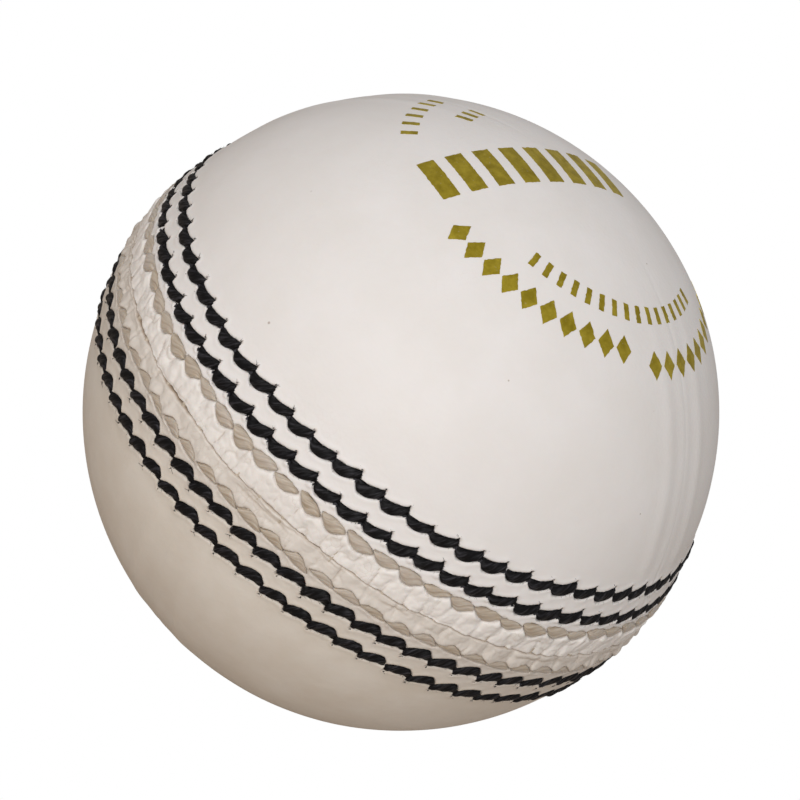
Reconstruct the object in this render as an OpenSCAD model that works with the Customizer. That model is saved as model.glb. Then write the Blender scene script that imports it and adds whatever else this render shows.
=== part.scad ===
// Cricket ball: a wound cork core in a four-piece leather cover, closed and stitched round the middle.
// The middle of the ball is the origin. The poles of the two cups are on Z, and the cups meet at Z = 0.
// The join of the upper cup's two quarters lies in the XZ plane, that of the lower cup's in the YZ plane.

/* [Ball] */
// Diameter over the smooth leather, from pole to pole
ball_d = 71.5; // [66:0.5:73]
// How far the edges of the cups stand up where they meet
ridge_h = 0.6; // [0.3:0.1:1]
// Width of the raised band from its edge to the meeting line
band_half_w = 10.6; // [10:0.1:12]
// Thickness of the leather cover
leather_t = 3.6; // [3:0.1:4]
// Thickness of the lining inside each cup
lining_t = 0.8; // [0.6:0.1:1.2]

/* [Core] */
// Diameter of the solid cork and rubber middle
nucleus_d = 24; // [18:1:30]
// Share of the depth that the twine windings take, against the cork
twine_share = 0.5; // [0.3:0.05:0.7]

/* [Stitching] */
// Stitches in each row
stitch_count = 68; // [60:2:70]
// Distance over the surface from the meeting line to the closing row
closing_row = 3; // [2.8:0.1:3.1]
// Distance over the surface from the meeting line to the inner black row
inner_row = 5.2; // [5.1:0.1:5.5]
// Distance over the surface from the meeting line to the outer black row
outer_row = 8.6; // [8:0.1:9]
// Thickness of the black thread at the middle of a stitch
black_d = 1.3; // [1:0.05:1.4]
// Length of a black stitch
black_len = 3.3; // [2.8:0.1:3.3]
// Slope of a black stitch against its row, in degrees
black_slope = 18; // [15:1:19]
// Thickness of the waxed closing thread at the middle of a stitch
waxed_d = 1.2; // [1:0.05:1.3]
// Length of a closing stitch
waxed_len = 3; // [2.6:0.1:3.1]
// Slope of a closing stitch against its row, in degrees
waxed_slope = 7; // [0:1:12]
// Diameter of the thread where it passes through the leather
pass_d = 0.5; // [0.4:0.05:0.6]

/* [Foil] */
// Distance of the ring of lozenges from the pole, in degrees round the ball
ring_angle = 33; // [31:0.5:36]
// Number of places for lozenges in the full ring
ring_places = 48; // [40:2:50]
// Number of plain bars in the row across the pole
bar_count = 8; // [4:1:8]
// Thickness of the foil
foil_t = 0.06; // [0.04:0.01:0.1]

/* [Hidden] */
$fn = 96;
ball_r = ball_d / 2;
leather_in_r = ball_r - leather_t;
lining_in_r = leather_in_r - lining_t;
fit_gap = 0.02;
pitch_angle = 360 / stitch_count;

// The raised band is an arc that meets the smooth sphere at the band's edge.
band_angle = band_half_w / ball_r * 180 / PI;
ridge_r = ball_r + ridge_h;
band_x = (ridge_r * ridge_r - ball_r * ball_r) / (2 * (ridge_r - ball_r * cos(band_angle)));
band_r = ridge_r - band_x;
lip_chamfer = 0.35;

// Rows, as degrees above or below the meeting line
closing_lat = closing_row / ball_r * 180 / PI;
inner_lat = inner_row / ball_r * 180 / PI;
outer_lat = outer_row / ball_r * 180 / PI;

// The channel that the stitches press into the leather
black_channel_r = 0.66 * black_d;
black_channel_rise = 0.25;
black_channel_floor = black_channel_rise - black_channel_r;
black_seat = black_channel_floor + black_d / 2 + fit_gap / 2;
waxed_channel_r = 0.62 * waxed_d;
waxed_seat = waxed_d / 2 - waxed_channel_r + fit_gap / 2;
end_share = 0.42;
stitch_cones = 3;

// The closing thread passes from cup to cup just below the ridge.
closing_pass_d = 0.6;
closing_pass_x = surface_r(closing_lat) - waxed_channel_r + 0.13;
closing_pass_z = closing_row - waxed_d / 2;

// Threads that run round the inside of the leather
run_d = 0.7;

// Layers of the core: three windings of twine, with a layer of cork over each
twine_layers = 3;
core_depth = lining_in_r - nucleus_d / 2;
twine_t = core_depth * twine_share / twine_layers;
cork_t = core_depth * (1 - twine_share) / twine_layers;

// Hidden stitches that join two quarters on the flesh side
join_slot_w = 2.6;
join_slot_depth = 0.8;
join_thread_d = 0.7;
join_pitch_angle = 5.5;
join_reach_angle = 66;

// Foil shapes. Angles are in degrees round the ball.
lozenge_long = 3.2;
lozenge_wide = 2.2;
lozenges_in_run = 10;
first_run_azimuth = 264.5;
second_run_azimuth = 346.5;
second_run_further_out = 1.8;
bar_long = 5.9;
bar_wide = 2.1;
bar_step_angle = 5.6;
bar_row_azimuth = 72;
bar_row_start = -30;
bar_row_aside = 5.5;
tick_long = 1.9;
tick_wide = 0.7;
tick_step = 6.5;

black = [0.07, 0.07, 0.09];
waxed = [0.72, 0.67, 0.6];
upper_leather = [0.91, 0.89, 0.87];
lower_leather = [0.82, 0.77, 0.71];
cork = [0.62, 0.43, 0.27];
twine = [0.83, 0.76, 0.63];
lining = [0.75, 0.62, 0.48];
gold = [0.62, 0.52, 0.12];

// Radius of the leather's outside at a given angle from the meeting line
function surface_r(lat) = band_x * cos(lat) + sqrt(band_r * band_r - pow(band_x * sin(lat), 2));

// Outer radius of a core layer, counted from the nucleus
function layer_r(count) = nucleus_d / 2 + ceil(count / 2) * twine_t + floor(count / 2) * cork_t;

// ---------- Core ----------

module ball_shell(outer_r, inner_r) {
    difference() {
        sphere(r = outer_r);
        sphere(r = inner_r);
    }
}

module core_layer(count) {
    ball_shell(layer_r(count), layer_r(count - 1));
}

module cork_rubber_nucleus() {
    color(cork) sphere(d = nucleus_d);
}

module inner_twine_winding() {
    color(twine) core_layer(1);
}

module inner_cork_layer() {
    color(cork) core_layer(2);
}

module middle_twine_winding() {
    color(twine) core_layer(3);
}

module middle_cork_layer() {
    color(cork) core_layer(4);
}

module outer_twine_winding() {
    color(twine) core_layer(5);
}

module outer_cork_layer() {
    color(cork) core_layer(6);
}

// ---------- Cups ----------

// A point on the section of the ball, at an angle above the meeting line
module at_section(lat, r) {
    translate([r * cos(lat), r * sin(lat)]) children();
}

module upper_right_of_section() {
    square([2 * ball_r, 2 * ball_r]);
}

module inside_thread_channels() {
    for (lat = [inner_lat, outer_lat])
        at_section(lat, leather_in_r) circle(r = run_d / 2 + fit_gap);
}

module stitch_channels() {
    at_section(closing_lat, surface_r(closing_lat)) circle(r = waxed_channel_r);
    for (lat = [inner_lat, outer_lat])
        at_section(lat, surface_r(lat) + black_channel_rise) circle(r = black_channel_r);
}

module lip_chamfer_cut() {
    translate([ridge_r, 0]) rotate(45) square(lip_chamfer * sqrt(2), center = true);
}

module lining_section() {
    intersection() {
        upper_right_of_section();
        difference() {
            circle(r = leather_in_r);
            circle(r = lining_in_r);
            inside_thread_channels();
        }
    }
}

module leather_section() {
    intersection() {
        upper_right_of_section();
        difference() {
            union() {
                circle(r = ball_r);
                translate([band_x, 0]) circle(r = band_r);
            }
            circle(r = leather_in_r);
            inside_thread_channels();
            stitch_channels();
            lip_chamfer_cut();
        }
    }
}

module cup_lining() {
    rotate_extrude(angle = 360) lining_section();
}

// Places its children at every hole of a row, midway between two stitches
module each_hole(first, last) {
    for (i = [first : last])
        rotate([0, 0, (i + 0.5) * pitch_angle]) children();
}

module closing_pass(d, reach) {
    translate([closing_pass_x, 0, -reach]) cylinder(d = d, h = 2 * reach);
}

// A length of thread that goes straight through the leather towards the middle
module leg(lat, d, outer_end, inner_end) {
    rotate([0, 90 - lat, 0]) translate([0, 0, inner_end]) cylinder(d = d, h = outer_end - inner_end);
}

module leg_to_inside_thread(lat, d) {
    leg(lat, d, surface_r(lat) - 0.1, leather_in_r);
}

// The slot along the flesh side of the join, which lies in the XZ plane
module join_slot() {
    rotate([90, 0, 0])
        rotate_extrude(angle = 360)
            translate([leather_in_r - 1, -join_slot_w / 2])
                square([1 + join_slot_depth, join_slot_w]);
}

// Half a cup: the side of the join towards +Y, with its join in the XZ plane
module leather_quarter() {
    difference() {
        rotate_extrude(angle = 180) leather_section();
        join_slot_upper_part();
        each_hole(0, stitch_count / 2 - 1) {
            closing_pass(closing_pass_d + 2 * fit_gap, closing_row);
            leg_to_inside_thread(inner_lat, pass_d + 2 * fit_gap);
            leg_to_inside_thread(outer_lat, pass_d + 2 * fit_gap);
        }
    }
}

// The slot stops short of the stitched band.
module join_slot_upper_part() {
    intersection() {
        join_slot();
        translate([0, 0, ball_r / 2 + ball_r * cos(join_reach_angle + 2)])
            cube([2 * ball_r, 2 * join_slot_w, ball_r], center = true);
    }
}

// Hidden stitches across the join, from one side of the pole to the other
module join_thread() {
    stitches_each_side = floor(join_reach_angle / join_pitch_angle);
    for (i = [-stitches_each_side : stitches_each_side])
        rotate([0, i * join_pitch_angle, 0])
            translate([0, 0, leather_in_r + join_slot_depth / 2])
                rotate([90, 0, 0])
                    cylinder(d = join_thread_d, h = join_slot_w - 2 * fit_gap, center = true);
}

module upper_cup_lining() {
    color(lining) cup_lining();
}

module lower_cup_lining() {
    color(lining) rotate([180, 0, 0]) cup_lining();
}

module upper_leather_quarter_a() {
    color(upper_leather) leather_quarter();
}

module upper_leather_quarter_b() {
    color(upper_leather) rotate([0, 0, 180]) leather_quarter();
}

// The lower cup is the upper one turned over, with its join a quarter turn round.
module lower_leather_quarter_a() {
    color(lower_leather) rotate([180, 0, 90]) leather_quarter();
}

module lower_leather_quarter_b() {
    color(lower_leather) rotate([180, 0, 270]) leather_quarter();
}

module upper_quarter_join_thread() {
    color(waxed) join_thread();
}

module lower_quarter_join_thread() {
    color(waxed) rotate([180, 0, 90]) join_thread();
}

// ---------- Stitching ----------

// Radius of a stitch at a share of the way from its middle to its end
function stitch_r(d, share) = d / 2 * (1 - (1 - end_share) * share * share);

// One stitch, fat in the middle and narrow where it goes down into the leather, along Y
module stitch(len, d) {
    side = [for (i = [-stitch_cones : stitch_cones])
        [stitch_r(d, abs(i) / stitch_cones), i / stitch_cones * len / 2]];
    rotate([-90, 0, 0])
        rotate_extrude(angle = 360)
            polygon(concat([[0, -len / 2]], side, [[0, len / 2]]));
}

module stitch_row(lat, seat, slope, len, d) {
    for (i = [0 : stitch_count - 1])
        rotate([0, -lat, i * pitch_angle])
            translate([surface_r(abs(lat)) + seat, 0, 0])
                rotate([slope, 0, 0])
                    stitch(len, d);
}

module black_row(lat) {
    color(black) stitch_row(lat, black_seat, black_slope, black_len, black_d);
}

module waxed_row(lat) {
    color(waxed) stitch_row(lat, waxed_seat, waxed_slope, waxed_len, waxed_d);
}

// The thread of a black row inside the cup: a ring between leather and lining, and a leg up to
// each gap between two stitches
module inside_thread(lat) {
    color(black) {
        rotate_extrude(angle = 360) at_section(lat, leather_in_r) circle(r = run_d / 2);
        each_hole(0, stitch_count - 1)
            leg(lat, pass_d, surface_r(abs(lat)) - 0.1, leather_in_r);
    }
}

module upper_closing_stitches() {
    waxed_row(closing_lat);
}

module lower_closing_stitches() {
    waxed_row(-closing_lat);
}

module closing_thread_passes() {
    color(waxed)
        each_hole(0, stitch_count - 1)
            closing_pass(closing_pass_d, closing_pass_z);
}

module upper_inner_black_stitches() {
    black_row(inner_lat);
}

module upper_outer_black_stitches() {
    black_row(outer_lat);
}

module lower_inner_black_stitches() {
    black_row(-inner_lat);
}

module lower_outer_black_stitches() {
    black_row(-outer_lat);
}

module upper_inner_row_inside_thread() {
    inside_thread(inner_lat);
}

module upper_outer_row_inside_thread() {
    inside_thread(outer_lat);
}

module lower_inner_row_inside_thread() {
    inside_thread(-inner_lat);
}

module lower_outer_row_inside_thread() {
    inside_thread(-outer_lat);
}

// ---------- Foil ----------

// Cuts its children, drawn flat round the pole, out of the foil and moves them over the ball
module foil_at(polar, azimuth) {
    intersection() {
        ball_shell(ball_r + foil_t, ball_r);
        rotate([0, polar, azimuth])
            translate([0, 0, ball_r - 1])
                linear_extrude(height = 2) children();
    }
}

module lozenge() {
    half_long = lozenge_long / 2;
    half_wide = lozenge_wide / 2;
    polygon([[-half_long, 0], [0, -half_wide], [half_long, 0], [0, half_wide]]);
}

module lozenge_run(polar, first_azimuth) {
    for (i = [0 : lozenges_in_run - 1])
        foil_at(polar, first_azimuth + i * 360 / ring_places) lozenge();
}

module bar_row() {
    for (i = [0 : bar_count - 1]) {
        along = bar_row_start + i * bar_step_angle;
        polar = sqrt(along * along + bar_row_aside * bar_row_aside);
        azimuth = bar_row_azimuth + atan2(bar_row_aside, along);
        foil_at(polar, azimuth)
            rotate(bar_row_azimuth - azimuth) square([bar_wide, bar_long], center = true);
    }
}

module tick_row(count, polar, first_azimuth) {
    for (i = [0 : count - 1])
        foil_at(polar, first_azimuth + i * tick_step) square([tick_long, tick_wide], center = true);
}

module foil_mark() {
    color(gold) {
        lozenge_run(ring_angle, first_run_azimuth);
        lozenge_run(ring_angle + second_run_further_out, second_run_azimuth);
        bar_row();
        tick_row(count = 16, polar = 26, first_azimuth = 288.5);
        tick_row(count = 6, polar = 33.5, first_azimuth = 183);
        tick_row(count = 3, polar = 25.5, first_azimuth = 181.5);
    }
}

cork_rubber_nucleus();
inner_twine_winding();
inner_cork_layer();
middle_twine_winding();
middle_cork_layer();
outer_twine_winding();
outer_cork_layer();
upper_cup_lining();
lower_cup_lining();
upper_leather_quarter_a();
upper_leather_quarter_b();
lower_leather_quarter_a();
lower_leather_quarter_b();
upper_quarter_join_thread();
lower_quarter_join_thread();
upper_closing_stitches();
lower_closing_stitches();
closing_thread_passes();
upper_inner_black_stitches();
upper_outer_black_stitches();
lower_inner_black_stitches();
lower_outer_black_stitches();
upper_inner_row_inside_thread();
upper_outer_row_inside_thread();
lower_inner_row_inside_thread();
lower_outer_row_inside_thread();
foil_mark();
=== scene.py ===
"""A cricket ball: detailed leather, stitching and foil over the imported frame.

Lengths are in millimetres until a mesh is made. Along means the distance over the surface from the
meeting line of the two cups, above 0 towards the upper pole.
"""
import itertools
import math
from dataclasses import dataclass
from typing import Callable

import bpy
import numpy as np
from mathutils import Matrix, Vector


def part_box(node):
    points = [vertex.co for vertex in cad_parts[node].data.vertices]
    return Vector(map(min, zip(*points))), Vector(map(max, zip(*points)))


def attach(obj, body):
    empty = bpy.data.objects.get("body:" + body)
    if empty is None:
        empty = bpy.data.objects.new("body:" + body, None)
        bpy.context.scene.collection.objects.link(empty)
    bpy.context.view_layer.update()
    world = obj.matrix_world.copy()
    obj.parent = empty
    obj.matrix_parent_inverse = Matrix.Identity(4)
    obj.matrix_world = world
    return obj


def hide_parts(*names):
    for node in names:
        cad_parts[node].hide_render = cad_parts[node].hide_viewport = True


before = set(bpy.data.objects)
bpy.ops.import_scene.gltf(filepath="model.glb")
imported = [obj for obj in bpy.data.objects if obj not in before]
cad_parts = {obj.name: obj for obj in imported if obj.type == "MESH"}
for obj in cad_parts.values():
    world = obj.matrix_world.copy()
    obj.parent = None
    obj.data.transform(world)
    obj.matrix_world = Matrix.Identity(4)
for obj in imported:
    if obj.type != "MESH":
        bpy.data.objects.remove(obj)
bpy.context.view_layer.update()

MM = 0.001
TURN = 2 * math.pi
DEGREE = math.radians(1)
UPPER = 1
LOWER = -1


# ---------- Sizes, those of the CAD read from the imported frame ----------

def node_box(node):
    """Lowest and highest corner of a CAD node, in millimetres."""
    low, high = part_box(node)
    return np.array(low) / MM, np.array(high) / MM


BALL_R = node_box("upper_leather_quarter_a")[1][2]
RIDGE_R = node_box("upper_leather_quarter_a")[1][0]
LEATHER_IN_R = node_box("upper_cup_lining")[1][2]
RIDGE_H = RIDGE_R - BALL_R
# The photographed ridge is worn: lower and a little wider than the CAD one.
WORN_RIDGE_H = 0.55 * RIDGE_H
WEAR_SHARPNESS = 1.15
BAND_HALF_W = 10.8
STITCHES = 68
PITCH = TURN / STITCHES


def row_distance(node):
    """How far a row of stitches lies from the meeting line, over the surface."""
    low, high = node_box(node)
    return BALL_R * math.asin((low[2] + high[2]) / 2 / RIDGE_R)


# ---------- Noise ----------

AXIS_PRIMES = (73856093, 19349663, 83492791)
SEED_PRIME = 2654435761
MIX_PRIMES = (1274126177, 2246822519)
HASH_TOP = 0x7FFFFFFF
HASH_HALF = HASH_TOP // 2


def lattice_noise(points, seed):
    """Smooth noise from -1 to 1, one cell to a unit."""
    cell = np.floor(points).astype(np.int64)
    part = points - cell
    ease = part * part * (3 - 2 * part)
    total = np.zeros(len(points))
    for corner in itertools.product((0, 1), repeat=3):
        key = (cell + np.array(corner)) * np.array(AXIS_PRIMES)
        mixed = key[:, 0] ^ key[:, 1] ^ key[:, 2] ^ seed * SEED_PRIME
        mixed = (mixed ^ (mixed >> 13)) * MIX_PRIMES[0] & HASH_TOP
        mixed = (mixed ^ (mixed >> 15)) * MIX_PRIMES[1] & HASH_TOP
        weight = np.prod(np.where(corner, ease, 1 - ease), axis=1)
        total += weight * (mixed / HASH_HALF - 1)
    return total


def layered_noise(points, cell, seed, layers=3):
    """Noise with finer and weaker layers on top, its largest cells cell millimetres wide."""
    total = np.zeros(len(points))
    for layer in range(layers):
        total += lattice_noise(points / cell * 2 ** layer, seed + layer) / 2 ** layer
    return total


def ring_noise(azimuth, cell, seed, layers=3):
    """Noise along the seam that closes on itself."""
    around = np.stack([np.cos(azimuth), np.sin(azimuth), np.zeros_like(azimuth)], axis=1) * BALL_R
    return layered_noise(around, cell, seed, layers)


def smooth_step(low, high, x):
    t = np.clip((x - low) / (high - low), 0, 1)
    return t * t * (3 - 2 * t)


def bump_at(x, centre, width):
    return np.exp(-((x - centre) / width) ** 2)


# ---------- Places on the ball ----------

def on_ball(azimuth, along, height):
    """Points at an azimuth, a distance along and a height over the smooth ball."""
    latitude = along / BALL_R
    r = BALL_R + height
    flat = r * np.cos(latitude)
    return np.stack([flat * np.cos(azimuth), flat * np.sin(azimuth), r * np.sin(latitude)], axis=-1)


# ---------- Stitch rows: one outline shapes both the thread and the leather round it ----------

# Further than any distance between a point and a stitch that matters
FAR = 9.0
THINNEST_HALF = 0.05
# How far to the needle hole's side an end narrows, as a share of what it loses
NARROW_ASIDE = 0.9


def curve_through(knots, degree):
    """A smooth curve close to the knots, each a pair of place and value."""
    places, values = zip(*knots)
    return np.polynomial.Polynomial.fit(places, values, degree)


def narrowed(t, reach, share):
    """Share of the full girth at t from an end where it falls to a share over a reach."""
    return share + (1 - share) * smooth_step(-0.3 * reach, reach, t)


@dataclass
class StitchShape:
    """A stitch of a row above the meeting line, seen flat.

    t runs from 0 at its start to 1 at its needle hole, x along the row and y away from the meeting line.
    """

    start: float
    length: float
    # How far a cross-section leans back for each millimetre up it, at the start and at the hole
    start_slant: float
    end_slant: float
    # Middle line and half width along t
    middle: Callable
    half: Callable
    # Reach in t over which each end narrows, and the share of the girth left there
    neck_reach: float
    neck_share: float
    tip_reach: float
    tip_share: float
    # Half the thickness, and the height of its middle over the leather
    rise: float
    seat: float
    # Depth of the bed in the leather, and how far each end dives further in
    sink: float
    start_dive: float
    end_dive: float
    # The twist: plies, their turns in one stitch and how far each stands out
    plies: int
    turns_in_stitch: float
    ply_relief: float
    # How much the stitches of a row differ
    uneven: float

    def girth(self, t):
        """Share of the full thickness: less at both ends."""
        return narrowed(t, self.neck_reach, self.neck_share) * narrowed(1 - t, self.tip_reach, self.tip_share)

    def outline(self, t):
        """Middle line and half width. The ends narrow towards the needle hole's side."""
        half = np.maximum(self.half(t), THINNEST_HALF)
        girth = self.girth(t)
        return self.middle(t) + NARROW_ASIDE * half * (1 - girth), half * girth

    def lean(self, t):
        return self.start_slant + (self.end_slant - self.start_slant) * t

    def x_at(self, t, y):
        return self.start + self.length * t - self.lean(t) * y

    def t_at(self, x, y):
        length_here = self.length - (self.end_slant - self.start_slant) * y
        return (x - self.start + self.start_slant * y) / length_here

    def tip_point(self):
        """Where the thread goes down its needle hole, from the stitch's middle."""
        middle, half = self.outline(np.array([1.0]))
        y = middle[0] + half[0]
        return self.x_at(1, y), y


BLACK = StitchShape(
    start=-1.56,
    length=3.44,
    start_slant=0.14,
    end_slant=0.42,
    middle=curve_through(((0, -0.31), (0.15, -0.38), (0.48, -0.21), (0.8, 0.19), (1, 0.47)), 3),
    half=curve_through(((0, 0.64), (0.15, 0.68), (0.48, 0.64), (0.8, 0.56), (1, 0.52)), 3),
    neck_reach=0.20,
    neck_share=0.45,
    tip_reach=0.06,
    tip_share=0.80,
    rise=0.42,
    seat=-0.20,
    sink=0.52,
    start_dive=0.06,
    end_dive=0.12,
    plies=3,
    turns_in_stitch=0.6,
    ply_relief=0.13,
    uneven=1.0,
)
WAXED = StitchShape(
    start=-1.64,
    length=3.30,
    start_slant=0.25,
    end_slant=0.25,
    middle=curve_through(((0, 0.36), (0.12, 0.17), (0.3, -0.04), (0.5, -0.06), (0.75, 0.04), (1, 0.10)), 4),
    half=curve_through(
        ((0, 0.11), (0.12, 0.44), (0.3, 0.74), (0.5, 0.77), (0.7, 0.62), (0.9, 0.33), (1, 0.13)), 4),
    neck_reach=0.06,
    neck_share=0.8,
    tip_reach=0.06,
    tip_share=0.8,
    rise=0.52,
    seat=-0.24,
    sink=0.50,
    start_dive=0.10,
    end_dive=0.14,
    plies=4,
    turns_in_stitch=0.3,
    ply_relief=0.05,
    uneven=2.3,
)

# How much stitches differ from one to the next. The shape's uneven multiplies all but the first.
PITCH_SPREAD = 0.02
LIFT_SPREAD = 0.045
STRETCH_SPREAD = 0.02
SWELL_SPREAD = 0.05
TILT_SPREAD = 0.03
# How far from its row a stitch reaches at most
ROW_REACH = 2.6


class Row:
    """One row of stitches.

    phase moves it round the ball, in stitches, and shift moves it up from the CAD row's place.
    swell widens its stitches, and a darkening share paints shade, with some dirt, on the leather at their
    edges.
    """

    def __init__(self, name, side, shape, phase, shift, swell, edge_shade_and_dirt, seed):
        self.name = name
        self.side = side
        self.shape = shape
        self.phase = phase
        self.edge_shade_and_dirt = edge_shade_and_dirt
        self.seed = seed
        self.leg_along = row_distance(name)
        self.along = self.leg_along + shift
        self.scale = BALL_R * math.cos(self.along / BALL_R)
        rng = np.random.default_rng(seed)

        def vary(spread):
            return rng.normal(0, spread * shape.uneven, STITCHES)

        self.azimuths = (np.arange(STITCHES) + phase + rng.normal(0, PITCH_SPREAD, STITCHES)) * PITCH
        self.lift = vary(LIFT_SPREAD)
        self.stretch = 1 + vary(STRETCH_SPREAD)
        self.swell = swell * (1 + vary(SWELL_SPREAD))
        self.tilt = vary(TILT_SPREAD)

    def placed(self, k, x, y):
        """Azimuth and distance from the meeting line of points on stitch k, from its own x and y."""
        x = x * self.stretch[k]
        y = y * self.swell[k] + self.lift[k] + self.tilt[k] * x
        return self.azimuths[k] + self.side * x / self.scale, self.along + self.side * y

    def local(self, k, azimuth, along):
        """A stitch's own x and y of points on the ball."""
        turn = azimuth - self.azimuths[k]
        x = (turn - TURN * np.round(turn / TURN)) * self.scale * self.side
        y = (along - self.along) * self.side
        return x / self.stretch[k], (y - self.lift[k] - self.tilt[k] * x) / self.swell[k]

    def gaps(self, azimuth, along):
        """How far each point is outside the nearest stitch, below 0 inside it, and from a needle hole."""
        shape = self.shape
        gap = np.full(len(azimuth), FAR)
        to_hole = np.full(len(azimuth), FAR)
        close = np.flatnonzero(np.abs(along - self.along) < ROW_REACH)
        place = np.round(azimuth[close] / PITCH - self.phase).astype(int)
        hole_x, hole_y = shape.tip_point()
        for neighbour in (-1, 0, 1):
            x, y = self.local((place + neighbour) % STITCHES, azimuth[close], along[close])
            t = shape.t_at(x, y)
            middle, half = shape.outline(np.clip(t, 0, 1))
            beyond = shape.length * np.maximum(np.maximum(-t, t - 1), 0)
            across = np.abs(y - middle) - half
            outside = np.hypot(beyond, np.maximum(across, 0))
            gap[close] = np.minimum(gap[close], np.where(beyond > 0, outside, across))
            to_hole[close] = np.minimum(to_hole[close], np.hypot(x - hole_x, y - hole_y))
        return gap, to_hole


ROWS = [
    Row("upper_closing_stitches", UPPER, WAXED, phase=-0.11, shift=0.31, swell=1.0, edge_shade_and_dirt=0.4, seed=11),
    Row("upper_inner_black_stitches", UPPER, BLACK, phase=0.0, shift=0.36, swell=0.97, edge_shade_and_dirt=0.6, seed=12),
    Row("upper_outer_black_stitches", UPPER, BLACK, phase=0.0, shift=0.20, swell=0.97, edge_shade_and_dirt=0.6, seed=13),
    Row("lower_closing_stitches", LOWER, WAXED, phase=-0.33, shift=0.52, swell=0.82, edge_shade_and_dirt=0.75, seed=14),
    Row("lower_inner_black_stitches", LOWER, BLACK, phase=-0.065, shift=0.32, swell=1.08, edge_shade_and_dirt=0.6, seed=15),
    Row("lower_outer_black_stitches", LOWER, BLACK, phase=-0.085, shift=0.0, swell=1.10, edge_shade_and_dirt=0.6, seed=16),
]


# ---------- Leather relief: the meeting line and the ridge ----------

CRACK_WANDER = 0.17
CRACK_WOBBLE = 0.07
CRACK_HALF_W = 0.025
CRACK_OPEN_W = 0.09
CRACK_RAGGED = 0.012
EDGE_ROLL_W = 0.20
EDGE_ROLL_DEPTH = 0.18


def crack_line(azimuth):
    """Where the two cups' edges meet, which wanders a little."""
    wander = CRACK_WANDER * ring_noise(azimuth, cell=8.0, seed=31)
    return wander + CRACK_WOBBLE * ring_noise(azimuth, cell=1.3, seed=32)


def crack_opening(azimuth):
    """How open the meeting line is, from 0 where the edges touch to 1."""
    return smooth_step(0.30, 0.75, ring_noise(azimuth, cell=5.0, seed=41, layers=2))


def crack_gap(azimuth):
    """Half the open width between the cups' edges."""
    return CRACK_HALF_W + CRACK_OPEN_W * crack_opening(azimuth) + CRACK_RAGGED * ring_noise(azimuth, 0.9, 42)


def band_height(along):
    """The swelling of the leather towards the ridge."""
    t = np.clip(np.abs(along) / BAND_HALF_W, 0, 1)
    return WORN_RIDGE_H * (1 - t * t) ** WEAR_SHARPNESS


def rolled_edge(azimuth, from_crack):
    """How the cups' edges roll in: change of height, painted shade with some dirt, and rawness."""
    opened = crack_opening(azimuth)
    roll = 1 - smooth_step(0.0, EDGE_ROLL_W + 0.15 * opened, from_crack)
    # Painted shade with some dirt where the edge rolls in, stronger where the line opens
    shade_and_dirt = (0.42 + 0.4 * opened) * smooth_step(0.5, 1.0, roll)
    raw = (0.10 + 0.8 * opened) * smooth_step(0.45, 0.95, roll)
    return -(EDGE_ROLL_DEPTH + 0.12 * opened) * roll ** 2, shade_and_dirt, raw


# ---------- Leather relief: the crumpled lips ----------

LIP_W = 2.6
LIP_FADE_OUT = 3.6
PILLOWS = {UPPER: 104, LOWER: STITCHES}
PILLOW_MIDDLE = 1.4
PILLOW_SQUASH = 0.8
FOLD_STRETCH = {UPPER: 0.6, LOWER: 0.8}
PILLOW_H = 0.14
FOLD_H = 0.28
CRINKLE_H = 0.10
EDGE_DROP = 0.12
CREASE_DEPTH = 0.07
VALLEY_DEPTH = 0.04
# Long creases beside the meeting line: seed, distance from it, width and strength
LIP_CREASES = {
    UPPER: ((0, 0.35, 0.09, 0.6),),
    LOWER: ((1, 0.30, 0.09, 0.9), (2, 0.70, 0.13, 1.2)),
}
LONG_CREASE_DEPTH = 0.10


def pillow_edges(side, azimuth, from_crack, points):
    """Crowded pillows of leather along a lip: how far each point is from the crease round its own pillow."""
    places = PILLOWS[side]
    rng = np.random.default_rng(300 + side)
    along_shift = rng.uniform(0.3, 0.7, places)
    across_shift = rng.uniform(-0.5, 0.5, places)
    width = TURN * BALL_R / places
    x = azimuth / TURN * places + 0.13 * layered_noise(points, cell=1.4, seed=301 + side)
    y = from_crack + 0.35 * layered_noise(points, cell=1.2, seed=311 + side)
    whole = np.floor(x).astype(int)
    first = np.full(len(azimuth), FAR)
    second = np.full(len(azimuth), FAR)
    for neighbour in (-2, -1, 0, 1, 2):
        i = (whole + neighbour) % places
        dx = (x - whole - neighbour - along_shift[i]) * width
        dy = (y - PILLOW_MIDDLE - across_shift[i]) * PILLOW_SQUASH
        reach = np.hypot(dx, dy)
        second = np.minimum(second, np.maximum(first, reach))
        first = np.minimum(first, reach)
    return second - first


def billows(points, cell, seed):
    """Rounded hills with sharp valleys between them, 0 in a valley."""
    return np.abs(lattice_noise(points / cell, seed))


def lip_relief(side, azimuth, from_crack, points):
    """Height and creases of the crumpled leather between the meeting line and the closing row, with painted
    shade in the creases and low valleys.
    """
    edge = pillow_edges(side, azimuth, from_crack, points)
    marked = smooth_step(-0.2, 0.6, layered_noise(points, cell=1.8, seed=321 + side, layers=2))
    crease = bump_at(edge, centre=0, width=0.12) * marked
    upright = points * np.array([1, 1, FOLD_STRETCH[side]])
    warped = upright + 0.25 * lattice_noise(points / 0.9, 325 + side)[:, None]
    folds = billows(warped, cell=1.7, seed=331 + side)
    crinkle = billows(warped, cell=0.6, seed=341 + side)
    deep = smooth_step(-0.1, 0.5, layered_noise(points, cell=2.6, seed=351 + side, layers=2))
    valley = bump_at(folds, centre=0, width=0.05) * deep
    height = PILLOW_H * smooth_step(0, 1.0, edge) - CREASE_DEPTH * crease
    height = height - EDGE_DROP * bump_at(from_crack, centre=0, width=1.0)
    height = height + FOLD_H * (folds - 0.3) + CRINKLE_H * (crinkle - 0.3) - VALLEY_DEPTH * valley
    return height, np.maximum(0.8 * crease, 0.5 * valley)


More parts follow.
